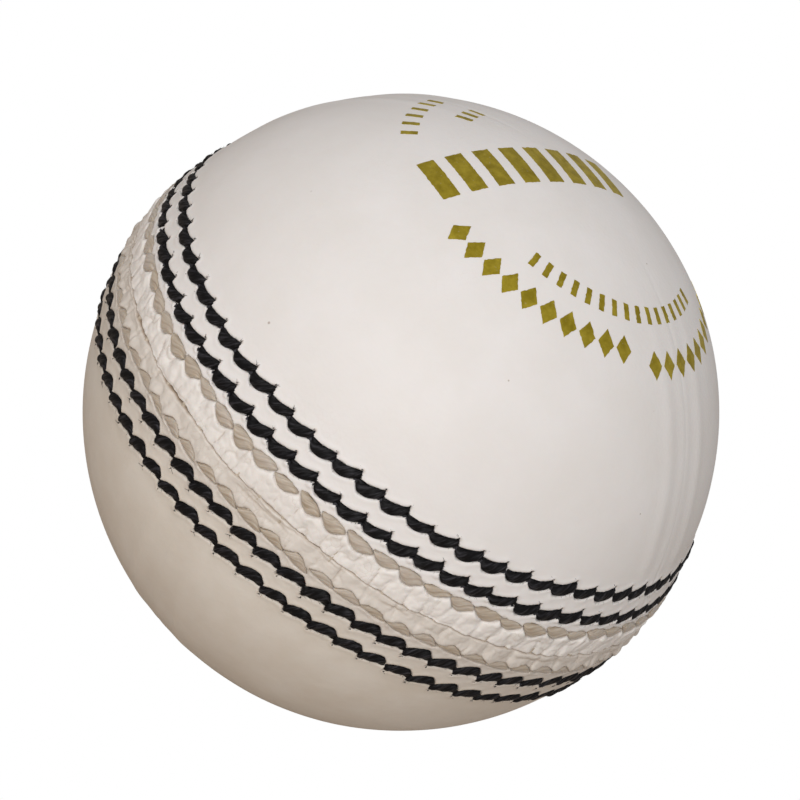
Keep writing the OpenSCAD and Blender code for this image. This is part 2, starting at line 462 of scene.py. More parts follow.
def long_creases(side, azimuth, from_crack):
    """Each long crease beside the meeting line, as its strength at each point."""
    for seed, depth, width, weight in LIP_CREASES[side]:
        crease_at = depth + 0.20 * ring_noise(azimuth, cell=4.0, seed=81 + seed)
        marked = weight * smooth_step(-0.2, 0.6, ring_noise(azimuth, cell=6.0, seed=85 + seed, layers=2))
        yield bump_at(from_crack, crease_at, width) * marked


# ---------- Leather relief: round the stitches ----------

# Where a stitch's bed starts and stops falling off, from its outline outwards
BED_INNER_EDGE = -0.18
BED_OUTER_EDGE = 0.07
# Half width of the painted shade with some dirt along a stitch's edge
EDGE_SHADE_AND_DIRT_W = 0.10
WELT_H = 0.05
HOLE_DEPTH = 0.16
PUCKER_H = 0.03
LOBE_H = 0.20
# The CAD's hidden legs of thread end just under its own surface, which is higher than the worn one.
LEG_R = 0.25
LEG_DEPTH = 0.1
LEG_COVER = 0.06
LEG_COVER_EDGE = (0.05, 0.4)


def leg_cover(row, azimuth, along):
    """How high the leather must stand over a row's hidden legs, and how near each point is to one."""
    shift = (azimuth / PITCH) % 1 - 0.5
    away = np.hypot(shift * PITCH * row.scale, along - row.leg_along)
    t = row.leg_along / BAND_HALF_W
    inner, outer = LEG_COVER_EDGE
    return RIDGE_H * (1 - t * t) - LEG_DEPTH + LEG_COVER, 1 - smooth_step(LEG_R + inner, LEG_R + outer, away)


def row_relief(row, azimuth, along, points):
    """What a row of stitches does to the leather: change of height, and painted shade with some dirt at the
    stitches' edges and round the needle holes.
    """
    shape = row.shape
    gap, to_hole = row.gaps(azimuth, along)
    gap = gap + 0.05 * shape.uneven * layered_noise(points, cell=0.8, seed=row.seed + 400, layers=2)
    inside = 1 - smooth_step(BED_INNER_EDGE, BED_OUTER_EDGE, gap)
    height = WELT_H / shape.uneven * bump_at(gap, centre=0.32, width=0.22) - shape.sink * inside
    # Painted shade with some dirt along the edge of each stitch's bed
    shade_and_dirt = row.edge_shade_and_dirt * (1 - smooth_step(-EDGE_SHADE_AND_DIRT_W, EDGE_SHADE_AND_DIRT_W, gap))
    if shape is BLACK:
        cover, nearness = leg_cover(row, azimuth, along)
        height = height + np.maximum(cover - band_height(along), 0) * nearness * (1 - inside)
        height = height - HOLE_DEPTH * bump_at(to_hole, centre=0, width=0.16)
        height = height + PUCKER_H * bump_at(to_hole, centre=0.25, width=0.18)
        # Painted shade round the needle hole, on top of the edge shade
        return height, np.maximum(shade_and_dirt, 0.5 * bump_at(to_hole, centre=0.12, width=0.16))
    between = 0.5 - 0.5 * np.cos(TURN * (azimuth / PITCH - row.phase))
    lobe = between * bump_at((along - row.along) * row.side, centre=-0.55, width=0.75)
    height = height + LOBE_H * lobe * (1 - inside)
    # Painted shade round the needle hole, on top of the edge shade
    return height, np.maximum(shade_and_dirt, 0.7 * bump_at(to_hole, centre=0.1, width=0.22))


# ---------- Leather relief: the whole cover ----------

BAND_WAVES_H = 0.045
BALL_WAVES_H = 0.03
JOIN_DEPTH = 0.05
JOIN_FOLDS_H = 0.10


def join_relief(azimuth, along, join_azimuth):
    """The shallow crease over the join of two quarters, and the soft folds beside it."""
    distance = np.abs(along)
    from_join = (azimuth - join_azimuth + math.pi / 2) % math.pi - math.pi / 2
    across = from_join * BALL_R * np.cos(along / BALL_R)
    fade = smooth_step(9, 13, distance) * (1 - smooth_step(24, 46, distance))
    crease = bump_at(across, centre=0.0, width=0.35) * (1 - smooth_step(38, 50, distance))
    across = np.abs(across)
    folds = bump_at(across, centre=3.6, width=1.0) - 0.7 * bump_at(across, centre=1.6, width=1.1)
    return JOIN_FOLDS_H * fade * folds - JOIN_DEPTH * crease


def leather_surface(side, azimuth, along, join_azimuth):
    """Height of the leather over the smooth ball, how much painted shade with some dirt each point gets in
    crevices and creases, and how raw it is.
    """
    points = on_ball(azimuth, along, 0)
    distance = np.abs(along)
    from_crack = np.abs(along - crack_line(azimuth)) - crack_gap(azimuth)

    lip = 1 - smooth_step(LIP_W, LIP_FADE_OUT, distance)
    lip_height, lip_crease_shade = lip_relief(side, azimuth, from_crack, points)
    height = band_height(along) + lip * lip_height
    # Painted shade in the lip's creases and low valleys
    shade_and_dirt = lip * lip_crease_shade

    for row in [row for row in ROWS if row.side == side]:
        row_height, row_shade_and_dirt = row_relief(row, azimuth, along, points)
        height = height + row_height
        shade_and_dirt = np.maximum(shade_and_dirt, row_shade_and_dirt)

    band = 1 - smooth_step(BAND_HALF_W - 3, BAND_HALF_W + 1.5, distance)
    height = height + band * BAND_WAVES_H * layered_noise(points, cell=1.6, seed=91)
    height = height + BALL_WAVES_H * layered_noise(points, cell=9.0, seed=95, layers=2)

    roll_height, roll_shade_and_dirt, raw = rolled_edge(azimuth, from_crack)
    height = height + roll_height
    shade_and_dirt = np.maximum(shade_and_dirt, roll_shade_and_dirt)
    for crease in long_creases(side, azimuth, from_crack):
        height = height - LONG_CREASE_DEPTH * crease
        # Painted shade with some dirt along each long crease
        shade_and_dirt = np.maximum(shade_and_dirt, 0.7 * crease)
    return height + join_relief(azimuth, along, join_azimuth), shade_and_dirt, raw


# ---------- Mesh making ----------

def zip_rows(a, b):
    """Triangles between two rows of vertex numbers that start and end together."""
    faces = []
    i = j = 0
    last_a, last_b = len(a) - 1, len(b) - 1
    while i < last_a or j < last_b:
        if j == last_b or (i < last_a and (i + 1) * last_b <= (j + 1) * last_a):
            faces.append((a[i], b[j], a[i + 1]))
            i += 1
        else:
            faces.append((a[i], b[j], b[j + 1]))
            j += 1
    return np.array(faces).reshape(-1, 3)


def rows_to_faces(rows):
    """Quads between rows of the same length and triangles between others."""
    quads = []
    triangles = []
    for a, b in zip(rows[:-1], rows[1:]):
        if len(a) == len(b):
            quads.append(np.stack([a[:-1], b[:-1], b[1:], a[1:]], axis=1))
        else:
            triangles.append(zip_rows(a, b))
    return np.concatenate(quads), np.concatenate(triangles)


def add_object(name, data):
    """A new object in the scene that shows a mesh, light or camera."""
    made = bpy.data.objects.new(name, data)
    bpy.context.scene.collection.objects.link(made)
    return made


def ring_quads(rings, count):
    """Quads between closed rings of count points, numbered ring by ring."""
    here = np.arange((rings - 1) * count)
    following = here - here % count + (here + 1) % count
    return np.stack([here, following, following + count, here + count], axis=1)


class Shells:
    """Points and faces of the closed shells of one piece."""

    def __init__(self):
        self.points = []
        self.quads = []
        self.triangles = []
        self.count = 0

    def add(self, points, quads, triangles):
        """One more shell, whose faces count its own points from 0."""
        self.points.append(points)
        self.quads.append(quads + self.count)
        self.triangles.append(triangles + self.count)
        self.count += len(points)


def make_piece(name, shells, material, attributes=None, sharp_angle=None):
    """A mesh object from shells in millimetres, riding on the ball's one body."""
    points = np.concatenate(shells.points)
    quads = np.concatenate(shells.quads)
    triangles = np.concatenate(shells.triangles)
    mesh = bpy.data.meshes.new(name)
    mesh.vertices.add(len(points))
    mesh.vertices.foreach_set("co", (points * MM).astype(np.float32).ravel())
    corners = np.concatenate([quads.ravel(), triangles.ravel()])
    starts = np.concatenate([np.arange(len(quads)) * 4, len(quads) * 4 + np.arange(len(triangles)) * 3])
    mesh.loops.add(len(corners))
    mesh.loops.foreach_set("vertex_index", corners.astype(np.int32))
    mesh.polygons.add(len(starts))
    mesh.polygons.foreach_set("loop_start", starts.astype(np.int32))
    mesh.update(calc_edges=True)
    mesh.polygons.foreach_set("use_smooth", np.ones(len(starts), bool))
    for key, values in (attributes or {}).items():
        layer = mesh.attributes.new(key, "FLOAT", "POINT")
        layer.data.foreach_set("value", values.astype(np.float32))
    mesh.validate()
    if sharp_angle:
        mesh.set_sharp_from_angle(angle=sharp_angle)
    mesh.materials.append(material)
    piece = add_object(name, mesh)
    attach(piece, "root")
    return piece


# ---------- Leather quarters ----------

# Columns in a row of points in the band, on the cap, near the pole and inside
BAND_COLUMNS = 768
CAP_COLUMNS = 192
POLE_COLUMNS = 48
INNER_COLUMNS = 96
BAND_STEP = 0.13
CAP_STEP = 0.55
POLE_ZONE = 10.0
POLE_HOLE = 0.5
# Rows next to the pole, which have the fewest columns
POLE_ROWS = 6
# How far from the meeting line the rows of points still follow its wandering, outside and inside
FOLLOW_OUTSIDE = 2.4
FOLLOW_INSIDE = 6
EDGE_FACE_DEPTHS = (0.55, 1.1, 2.2)
EDGE_FACE_DROP = 0.33
EDGE_FACE_SLOPE = 0.02
LINING_GAP = 0.02
INNER_ROWS = 26
INNER_POLE_HOLE = 2.0
# Painted shade on the inside of the leather
INNER_PAINTED_SHADE = 0.3
LIP_START = 2.5
LIP_FADE = {UPPER: 5.0, LOWER: 9.0}
LEATHER_SHARP_ANGLE = 50 * DEGREE


def quarter_rows():
    """Distances from the meeting line of the outer rows, with the number of columns in each, pole to lip."""
    quarter_turn = BALL_R * math.pi / 2
    pole = np.arange(quarter_turn - POLE_HOLE, quarter_turn - POLE_ZONE, -CAP_STEP)
    cap = np.arange(pole[-1] - CAP_STEP, BAND_HALF_W + 1.2, -CAP_STEP)
    band_start = cap[-1] - 0.3
    band = np.linspace(band_start, 0, int(band_start / BAND_STEP))
    rows = [(along, POLE_COLUMNS) for along in pole[:POLE_ROWS]]
    rows += [(along, POLE_COLUMNS * 2) for along in pole[POLE_ROWS:]]
    rows += [(along, CAP_COLUMNS) for along in cap]
    rows += [(along, BAND_COLUMNS) for along in band]
    return rows


def outside_rows(side, join_azimuth, sweep):
    """Rows of points with their share of painted shade and dirt, and their rawness, from the pole to the foot
    of the cup's edge.
    """
    yield np.array([[0, 0, side * BALL_R]]), 0.0, 0.0
    for along, columns in quarter_rows():
        azimuth = sweep(columns)
        edge = crack_line(azimuth) + side * crack_gap(azimuth)
        signed = side * along + edge * (1 - smooth_step(0, FOLLOW_OUTSIDE, along))
        height, shade_and_dirt, raw = leather_surface(side, azimuth, signed, join_azimuth)
        yield on_ball(azimuth, signed, height), shade_and_dirt, raw
    azimuth = sweep(BAND_COLUMNS)
    edge = crack_line(azimuth) + side * crack_gap(azimuth)
    for depth in EDGE_FACE_DEPTHS:
        signed = edge - side * EDGE_FACE_SLOPE * depth
        # The cup's edge face deep in the meeting line: full painted shade, and raw
        yield on_ball(azimuth, signed, WORN_RIDGE_H - EDGE_FACE_DROP - depth), 1.0, 1.0


def inside_rows(side, sweep):
    """Rows of points with their share of painted shade and their rawness, from the meeting line back to the
    pole.
    """
    azimuth = sweep(INNER_COLUMNS)
    inner_r = LEATHER_IN_R + LINING_GAP
    for along in np.linspace(0, BALL_R * math.pi / 2 - INNER_POLE_HOLE, INNER_ROWS):
        signed = side * along + crack_line(azimuth) * (1 - smooth_step(0, FOLLOW_INSIDE, along))
        yield on_ball(azimuth, signed, inner_r - BALL_R), INNER_PAINTED_SHADE, 1.0
    yield np.array([[0, 0, side * inner_r]]), INNER_PAINTED_SHADE, 1.0


def leather_quarter(name, side, join_azimuth, material):
    """A quarter of the cover as a closed shell: relief outside, lip, plain inside and two join faces."""
    def sweep(columns):
        return join_azimuth + np.linspace(0, math.pi, columns + 1)

    outside = list(outside_rows(side, join_azimuth, sweep))
    points, shade_and_dirt_rows, raws = zip(*outside, *inside_rows(side, sweep))
    sizes = [len(row) for row in points]
    points = np.concatenate(points)
    numbers = np.split(np.arange(len(points)), np.cumsum(sizes)[:-1])
    quads, triangles = rows_to_faces(numbers)
    for end, flip in ((0, False), (-1, True)):
        edge = np.array([row[end] for row in numbers])
        wall = zip_rows(edge[:len(outside)], edge[len(outside):][::-1])
        triangles = np.concatenate([triangles, wall[:, ::-1] if flip else wall])
    if side == UPPER:
        quads = quads[:, ::-1]
        triangles = triangles[:, ::-1]
    shells = Shells()
    shells.add(points, quads, triangles)
    distance = BALL_R * np.arcsin(np.abs(points[:, 2]) / np.linalg.norm(points, axis=1))
    attributes = {"lip": 1 - smooth_step(LIP_START, LIP_FADE[side], distance)}
    # Painted shade with some dirt, and rawness, kept for each point for the leather's colour
    for key, values in (("shade_and_dirt", shade_and_dirt_rows), ("raw", raws)):
        attributes[key] = np.concatenate([np.broadcast_to(value, size) for value, size in zip(values, sizes)])
    piece = make_piece(name + "_leather", shells, material, attributes, LEATHER_SHARP_ANGLE)
    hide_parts(name)


# ---------- Thread ----------

# How far in t a stitch's ends dive, the size of its lumps, and the mean height of a ply's round top
DIVE_REACH = 0.12
LUMP_H = 0.06
LUMPS_ROUND = 1.5
LUMPS_LONG = 9
PLY_MEAN = 0.64


def frame_on_ball(azimuth, along):
    """Unit vectors along the row, towards the upper pole and outwards, at each point."""
    east = np.stack([-np.sin(azimuth), np.cos(azimuth), np.zeros_like(azimuth)], axis=-1)
    out = on_ball(azimuth, along, 1 - BALL_R)
    return east, np.cross(out, east), out


def stitch_points(row, k, steps, sides):
    """The skin of one twisted stitch, fat in between and diving into the leather at both ends."""
    shape = row.shape
    t = (1 - np.cos(np.linspace(0, math.pi, steps))) / 2
    middle, half = shape.outline(t)
    azimuth, along = row.placed(k, shape.x_at(t, middle), middle)
    dive = shape.start_dive * (1 - smooth_step(0, DIVE_REACH, t))
    dive = dive + shape.end_dive * smooth_step(1 - DIVE_REACH, 1, t)
    centre = on_ball(azimuth, along, band_height(along) + shape.seat - dive)
    east, north, out = frame_on_ball(azimuth, along)
    across = row.side * (north - shape.lean(t)[:, None] * east)
    round_it = np.linspace(0, 1, sides, endpoint=False)
    angle = TURN * (round_it - 0.25)
    ply = shape.plies * (round_it[None, :] + shape.turns_in_stitch * t[:, None])
    run = np.broadcast_to(t[:, None], (steps, sides))
    lump_places = np.stack([ply * LUMPS_ROUND, run * LUMPS_LONG, np.full_like(ply, k)], axis=-1)
    lumps = lattice_noise(lump_places.reshape(-1, 3), row.seed).reshape(ply.shape)
    ridges = 2 * shape.ply_relief * (np.abs(np.cos(math.pi * ply)) - PLY_MEAN)
    swell = (1 + ridges + LUMP_H * lumps) * row.swell[k]
    wide = half[:, None] * np.cos(angle)[None, :] * swell
    high = shape.rise * shape.girth(t)[:, None] * np.sin(angle)[None, :] * swell
    skin = centre[:, None, :] + wide[:, :, None] * across[:, None, :] + high[:, :, None] * out[:, None, :]
    return skin, ply, run


def tube_faces(steps, sides):
    """Quads of a tube whose points are numbered ring by ring, and its two end caps as fans of triangles."""
    ring = np.arange(1, sides - 1)
    fan = np.stack([np.zeros_like(ring), ring, ring + 1], axis=1)
    return ring_quads(steps, sides), np.concatenate([fan[:, ::-1], fan + (steps - 1) * sides])


def stitch_row(row, material, steps, sides):
    """All stitches of a row, with each point's place on its ply and stitch, and a tone for each stitch."""
    shells = Shells()
    plies = []
    runs = []
    faces = tube_faces(steps, sides)
    for k in range(STITCHES):
        skin, ply, run = stitch_points(row, k, steps, sides)
        shells.add(skin.reshape(-1, 3), *faces)
        plies.append(ply.ravel())
        runs.append(run.ravel())
    tones = np.random.default_rng(row.seed + 100).random(STITCHES)
    attributes = {
        "ply": np.concatenate(plies),
        "run": np.concatenate(runs),
        "tone": np.repeat(tones, steps * sides),
    }
    piece = make_piece(row.name + "_thread", shells, material, attributes)
    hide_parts(row.name)


# ---------- Loose fibres ----------

FIBRE_SIDES = 3
FIBRE_TAPER = 0.75
# Any direction that no fibre follows, to build its cross-sections from
FIBRE_ASIDE = (0.31, 0.52, 0.79)


def fibre(start, directions, radius):
    """A fine tapering hair through points, each a step further on."""
    centres = np.cumsum(np.vstack([start, directions]), axis=0)
    angle = np.arange(FIBRE_SIDES) / FIBRE_SIDES * TURN
    skin = []
    for i, centre in enumerate(centres):
        heading = directions[min(i, len(directions) - 1)]
        heading = heading / np.linalg.norm(heading)
        one = np.cross(heading, FIBRE_ASIDE)
        one = one / np.linalg.norm(one)
        two = np.cross(heading, one)
        r = radius * (1 - FIBRE_TAPER * i / (len(centres) - 1))
        skin.append(centre + r * (np.cos(angle)[:, None] * one + np.sin(angle)[:, None] * two))
    return np.array(skin)


def fibre_piece(name, fibres, material):
    shells = Shells()
    for skin in fibres:
        shells.add(skin.reshape(-1, 3), *tube_faces(len(skin), FIBRE_SIDES))
    piece = make_piece(name, shells, material)


def fibre_at(row, k, place, lift, headings, radius):
    """A fibre that starts at a stitch's own x and y and follows headings along, across and out of the row."""
    x, y = place
    azimuth, along = row.placed(k, np.array([x]), np.array([y]))
    start = on_ball(azimuth, along, band_height(along) + lift)[0]
    east, north, out = (axis[0] for axis in frame_on_ball(azimuth, along))
    steps = [row.side * (h[0] * east + h[1] * north) + h[2] * out for h in headings]
    return fibre(start, np.array(steps), radius)


def whisker(row, k, rng):
    """A bent end of fibre that stands out of a needle hole."""
    tip_x, tip_y = row.shape.tip_point()
    length = rng.uniform(0.07, 0.13)
    lean = rng.normal(-0.1, 0.7)
    bend = rng.normal(0, 0.4)
    headings = np.array([[lean, 1, 0.15], [lean + bend, 1, 0.0], [lean + 1.5 * bend, 0.7, -0.1]])
    x = tip_x + rng.normal(-0.12, 0.05)
    y = tip_y + rng.uniform(0.0, 0.12)
    return fibre_at(row, k, (x, y), 0.02, headings * length, rng.uniform(0.030, 0.045))


def fuzz(row, k, rng):
    """A short fine fibre at the side of a stitch."""
    t = rng.uniform(0.1, 0.9)
    middle, half = row.shape.outline(np.array([t]))
    edge = rng.choice([-1, 1])
    y = middle[0] + edge * 0.85 * half[0]
    x = row.shape.x_at(t, y)
    length = rng.uniform(0.07, 0.16)
    heading = np.array([rng.normal(0, 0.7), edge * rng.uniform(0.4, 1), rng.uniform(0, 0.6)]) * length
    headings = [heading, heading + rng.normal(0, 0.3, 3) * length]
    return fibre_at(row, k, (x, y), 0.15, headings, rng.uniform(0.012, 0.02))


def row_fibres(row):
    """Whiskers out of each needle hole, and short fuzz along each stitch."""
    rng = np.random.default_rng(row.seed + 200)
    made = []
    for k in range(STITCHES):
        made += [whisker(row, k, rng) for _ in range(rng.integers(3, 5))]
        made += [fuzz(row, k, rng) for _ in range(rng.integers(5, 10))]
    return made


# ---------- Foil ----------

FOIL_LIFT = 0.03
FOIL_RINGS = 7
LOZENGE_LONG = 3.2
LOZENGE_WIDE = 2.2
LOZENGE_STEP = 7.5 * DEGREE
LOZENGES_IN_RUN = 10
# Distance from the pole and azimuth where each run starts
LOZENGE_RUNS = ((33 * DEGREE, 264.5 * DEGREE), (34.8 * DEGREE, 346.5 * DEGREE))
BAR_LONG = 5.9
BAR_WIDE = 2.1
BAR_COUNT = 8
BAR_STEP = 5.6 * DEGREE
BAR_START = -30 * DEGREE
BAR_ASIDE = 5.5 * DEGREE
BAR_AZIMUTH = 72 * DEGREE
TICK_LONG = 1.9
TICK_WIDE = 0.7
TICK_STEP = 6.5 * DEGREE
# Number of ticks, distance from the pole and azimuth where each row starts
TICK_ROWS = (
    (16, 26 * DEGREE, 288.5 * DEGREE),
    (6, 33.5 * DEGREE, 183 * DEGREE),
    (3, 25.5 * DEGREE, 181.5 * DEGREE),
)
FOIL_POINT_STEP = 0.22
FOIL_ROUGH = 0.03
FOIL_SHARP_ANGLE = 40 * DEGREE


def outline_of(corners, spacing, rng, rough):
    """Points along a straight-sided outline, each nudged a little, as the edge of stamped foil is."""
    edge = []
    for a, b in zip(corners, np.roll(corners, -1, axis=0)):
        steps = max(2, int(np.linalg.norm(b - a) / spacing))
        for t in np.arange(steps) / steps:
            edge.append(a + (b - a) * t)
    edge = np.array(edge)
    return edge * (1 + rng.normal(0, rough, (len(edge), 1)) / np.linalg.norm(edge, axis=1, keepdims=True))


def rectangle(long, wide):
    return np.array([[-1, -1], [1, -1], [1, 1], [-1, 1]]) * np.array([long / 2, wide / 2])


def foil_patch(outline, polar, azimuth, turn):
    """A thin closed sheet of foil, its outline drawn flat, laid over the leather."""
    rings = []
    for ring in range(FOIL_RINGS):
        rings.append(outline * (1 - ring / FOIL_RINGS))
    flat = np.concatenate(rings + [np.zeros((1, 2))])
    c, s = math.cos(turn), math.sin(turn)
    flat = flat @ np.array([[c, s], [-s, c]])
    local = np.column_stack([flat, np.full(len(flat), BALL_R)])
    local = local / np.linalg.norm(local, axis=1, keepdims=True)
    spin = np.array(Matrix.Rotation(azimuth, 3, "Z") @ Matrix.Rotation(polar, 3, "Y"))
    direction = local @ spin.T
    along = BALL_R * np.arcsin(direction[:, 2])
    around = np.arctan2(direction[:, 1], direction[:, 0])
    height, _, _ = leather_surface(1, around, along, UPPER_JOIN)
    top = direction * (BALL_R + height + FOIL_LIFT)[:, None]
    under = direction * (BALL_R + height - FOIL_LIFT)[:, None]
    return top, under


def foil_faces(count, offset):
    """Faces of one patch: its top, its underside offset points further on, and the rim between them."""
    ring = np.arange(count)
    following = (ring + 1) % count
    inner = (FOIL_RINGS - 1) * count
    sheet = ring_quads(FOIL_RINGS, count)
    fan = np.stack([inner + ring, inner + following, np.full(count, inner + count)], axis=1)
    rim = np.stack([following, ring, offset + ring, offset + following], axis=1)
    quads = np.concatenate([sheet, sheet[:, ::-1] + offset, rim])
    return quads, np.concatenate([fan, fan[:, ::-1] + offset])


def foil_shapes():
    """Every shape of the plain mark: its corners, distance from the pole, azimuth and turn."""
    long_half, wide_half = LOZENGE_LONG / 2, LOZENGE_WIDE / 2
    lozenge = np.array([[-long_half, 0], [0, -wide_half], [long_half, 0], [0, wide_half]])
    for polar, start in LOZENGE_RUNS:
        for i in range(LOZENGES_IN_RUN):
            yield lozenge, polar, start + i * LOZENGE_STEP, 0.0
    for i in range(BAR_COUNT):
        run = BAR_START + i * BAR_STEP
        azimuth = BAR_AZIMUTH + math.atan2(BAR_ASIDE, run)
        yield rectangle(BAR_WIDE, BAR_LONG), math.hypot(run, BAR_ASIDE), azimuth, BAR_AZIMUTH - azimuth
    for count, polar, start in TICK_ROWS:
        for i in range(count):
            yield rectangle(TICK_LONG, TICK_WIDE), polar, start + i * TICK_STEP, 0.0


def foil_mark(material):
    shells = Shells()
    rng = np.random.default_rng(7)
    for corners, polar, azimuth, turn in foil_shapes():
        outline = outline_of(corners, FOIL_POINT_STEP, rng, FOIL_ROUGH)
        top, under = foil_patch(outline, polar, azimuth, turn)
        shells.add(np.concatenate([top, under]), *foil_faces(len(outline), len(top)))
    piece = make_piece("foil_mark_stamped", shells, material, sharp_angle=FOIL_SHARP_ANGLE)
    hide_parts("foil_mark")


# ---------- Materials ----------

class Shader:
    """A small helper to write a node material as a few lines."""

    def __init__(self, name):
        self.material = bpy.data.materials.new(name)
        self.material.use_nodes = True
        self.tree = self.material.node_tree
        self.base = self.tree.nodes["Principled BSDF"]
        self.place = self.node("TexCoord").outputs["Object"]

    def plug(self, socket, value):
        """Link another node's output to a socket, or set a plain value."""
        if isinstance(value, bpy.types.NodeSocket):
            self.tree.links.new(value, socket)
        else:
            socket.default_value = value

    def feed(self, node, **inputs):
        """Plug in each named input of a node, with _ for a space in its name."""
        for key, value in inputs.items():
            self.plug(node.inputs[key.replace("_", " ")], value)

    def node(self, kind, **inputs):
        node = self.tree.nodes.new("ShaderNode" + kind)
        self.feed(node, **inputs)
        return node

    def set(self, **values):
        self.feed(self.base, **values)

    def attribute(self, name):
        node = self.node("Attribute")
        node.attribute_name = name
        return node.outputs["Fac"]

    def noise(self, scale, detail=2.0, rough=0.5, vector=None):
        node = self.node("TexNoise", Scale=scale, Detail=detail, Roughness=rough, Vector=vector or self.place)
        return node.outputs["Fac"]

    def warped(self, scale, amount):
        """Places pushed about by noise, to bend a pattern laid over them."""
        noise = self.node("TexNoise", Scale=scale, Vector=self.place)
        push = self.node("VectorMath")
        push.operation = "MULTIPLY_ADD"
        for socket, value in zip(push.inputs, (noise.outputs["Color"], (amount, amount, amount), self.place)):
            self.plug(socket, value)
        return push.outputs["Vector"]

    def cells(self, scale, feature="DISTANCE_TO_EDGE", vector=None):
        node = self.node("TexVoronoi", Scale=scale, Vector=vector or self.place)
        node.feature = feature
        return node.outputs["Distance"]

    def ramp(self, value, low, high, to_low=0.0, to_high=1.0):
        node = self.node("MapRange", Value=value, From_Min=low, From_Max=high, To_Min=to_low, To_Max=to_high)
        return node.outputs["Result"]

    def math(self, kind, a, b=0.0):
        node = self.node("Math")
        node.operation = kind
        for socket, value in zip(node.inputs, (a, b)):
            self.plug(socket, value)
        return node.outputs[0]

    def times(self, a, b):
        return self.math("MULTIPLY", a, b)

    def mix(self, share, a, b):
        """Colour a with a share of colour b."""
        node = self.tree.nodes.new("ShaderNodeMix")
        node.data_type = "RGBA"
        a, b = (value if isinstance(value, bpy.types.NodeSocket) else (*value, 1.0) for value in (a, b))
        self.feed(node, Factor=share, A=a, B=b)
        return node.outputs["Result"]

    def bump(self, height, strength, distance, before=None):
        node = self.node("Bump", Height=height, Strength=strength, Distance=distance)
        if before is not None:
            self.feed(node, Normal=before)
        return node.outputs["Normal"]

    def finish(self, colour, roughness, normal=None):
        self.set(Base_Color=colour, Roughness=roughness)
        if normal is not None:
            self.set(Normal=normal)
        return self.material


def speckles(s, scale, size, share):
    """Tiny dots, one at most in each cell of a loose pattern, and only in a share of the cells."""
    node = s.node("TexVoronoi", Scale=scale, Vector=s.place)
    split = s.node("SeparateColor", Color=node.outputs["Color"])
    dot = s.ramp(node.outputs["Distance"], 0.5 * size * scale, size * scale, 1.0, 0.0)
    chosen = s.math("LESS_THAN", split.outputs["Red"], share)
    return s.times(dot, chosen)


DARK_SPECK = (0.22, 0.13, 0.08)
PALE_SPECK = (0.34, 0.27, 0.20)
CRAZING = (0.55, 0.46, 0.38)
# Colour of the painted shade in the lip's crinkles
CRINKLE_SHADE = (0.46, 0.37, 0.29)
# Colour of the painted shade with some dirt in crevices, creases and round the stitches
SHADE_AND_DIRT_COLOUR = (0.38, 0.29, 0.21)
RAW_EDGE = (0.36, 0.25, 0.15)


def leather_colour(s, body, warm, shade, lip, crinkle_shade):
    """Mottled, with stray specks, crazing, painted shade in the crinkles, painted shade with some dirt in
    crevices, raw edges, and creamier at the lip.
    """
    colour = s.mix(s.ramp(s.noise(140, 4, 0.6), 0.35, 0.68), body, warm)
    colour = s.mix(s.times(s.ramp(s.noise(38, 3, 0.5), 0.38, 0.66), 0.35), colour, shade)
    colour = s.mix(s.attribute("lip"), colour, lip)
    colour = s.mix(s.times(speckles(s, 120, 0.00024, 0.14), 0.75), colour, DARK_SPECK)
    colour = s.mix(s.times(speckles(s, 300, 0.00013, 0.10), 0.6), colour, PALE_SPECK)
    crazing = s.ramp(s.cells(1500), 0.0, 0.035, 1.0, 0.0)
    patches = s.ramp(s.noise(110, 3, 0.6), 0.55, 0.72)
    colour = s.mix(s.times(s.times(crazing, patches), 0.16), colour, CRAZING)
    # Painted shade along the crinkle lines at the lip
    colour = s.mix(s.times(crinkle_shade, 0.30), colour, CRINKLE_SHADE)
    # Painted shade with some dirt where the relief has crevices, creases and needle holes
    colour = s.mix(s.times(s.attribute("shade_and_dirt"), 0.62), colour, SHADE_AND_DIRT_COLOUR)
    return s.mix(s.times(s.attribute("raw"), 0.8), colour, RAW_EDGE)


def leather_material(name, body, warm, shade, lip, gloss, coat):
    """Lacquered white leather, finely grained and crinkled at the lip."""
    s = Shader(name)
    crinkle = s.cells(1050, "DISTANCE_TO_EDGE", s.warped(900, 0.0006))
    # Painted shade in the crinkle lines, only at the lip
    crinkle_shade = s.times(s.ramp(crinkle, 0.0, 0.05, 1.0, 0.0), s.ramp(s.noise(330, 2, 0.5), 0.50, 0.62))
    crinkle_shade = s.times(crinkle_shade, s.attribute("lip"))
    colour = leather_colour(s, body, warm, shade, lip, crinkle_shade)
    roughness = s.ramp(s.noise(420, 3, 0.6), 0.3, 0.7, gloss, gloss + 0.16)
    roughness = s.math("ADD", roughness, s.times(s.attribute("shade_and_dirt"), 0.3))
    grain = s.bump(s.noise(2600, 3, 0.6), 0.10, 0.0001)
    pores = s.bump(s.cells(2100, "F1"), 0.10, 0.0001, grain)
    waves = s.bump(s.noise(330, 3, 0.55), 0.16, 0.0003, pores)
    crumple = s.times(s.ramp(crinkle, 0.0, 0.35), s.attribute("lip"))
    normal = s.bump(crumple, 0.13, 0.0002, waves)
    s.set(Subsurface_Weight=0.05, Subsurface_Scale=0.0004, Subsurface_Radius=(1.0, 0.6, 0.4))
    s.set(Coat_Weight=coat, Coat_Roughness=0.28, Specular_IOR_Level=0.3)
    return s.finish(colour, roughness, normal)


def thread_strands(s, across, along):
    """Fine strands that follow each ply, different on every stitch, and how high on its ply a point is."""
    lane = s.times(s.attribute("ply"), across)
    reach = s.times(s.attribute("run"), along)
    stitch = s.times(s.attribute("tone"), 40.0)
    place = s.node("CombineXYZ", X=lane, Y=reach, Z=stitch)
    ridge = s.math("ABSOLUTE", s.math("COSINE", s.times(s.attribute("ply"), math.pi)))
    return s.noise(1.0, 3, 0.6, place.outputs[0]), ridge


